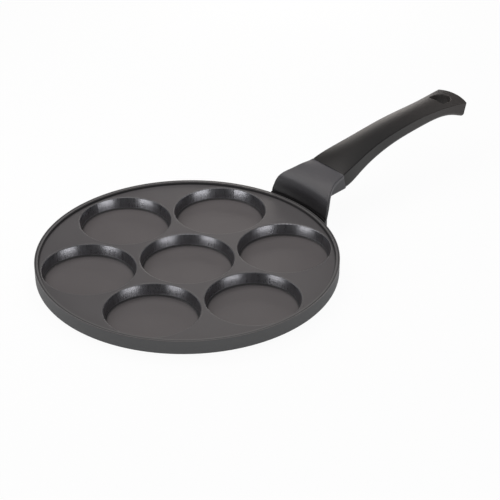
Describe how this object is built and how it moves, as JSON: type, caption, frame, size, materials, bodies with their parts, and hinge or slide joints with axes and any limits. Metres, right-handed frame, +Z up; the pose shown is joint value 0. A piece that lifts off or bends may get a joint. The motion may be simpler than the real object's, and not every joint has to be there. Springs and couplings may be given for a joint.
{
  "type": "mini pancake pan",
  "caption": "Shallow round griddle pan with flat-bottomed round wells, a low raised rim, a rising cast neck and a curved moulded grip with a hanging hole.",
  "frame": {"origin": "centre of the flat base, on the surface that the pan stands on", "axes": "+Z up, +X along the handle from the pan's centre to the grip's tip, +Y to the left of someone who looks from the pan to the grip"},
  "size_m": [0.4656, 0.265, 0.0633],
  "materials": {
    "coated_body": "satin dark grey non-stick coating",
    "coated_neck": "satin dark grey non-stick coating",
    "grip_plastic": "matte moulded thermoset",
    "screw_steel": "plain stainless steel",
    "washer_steel": "plain stainless steel"
  },
  "bodies": {
    "root": {"pan_body": "coated_body", "handle_neck": "coated_neck", "neck_screws": "screw_steel", "neck_washers": "washer_steel", "grip": "grip_plastic", "grip_screw": "screw_steel", "grip_washer": "washer_steel"}
  },
  "joints": []
}
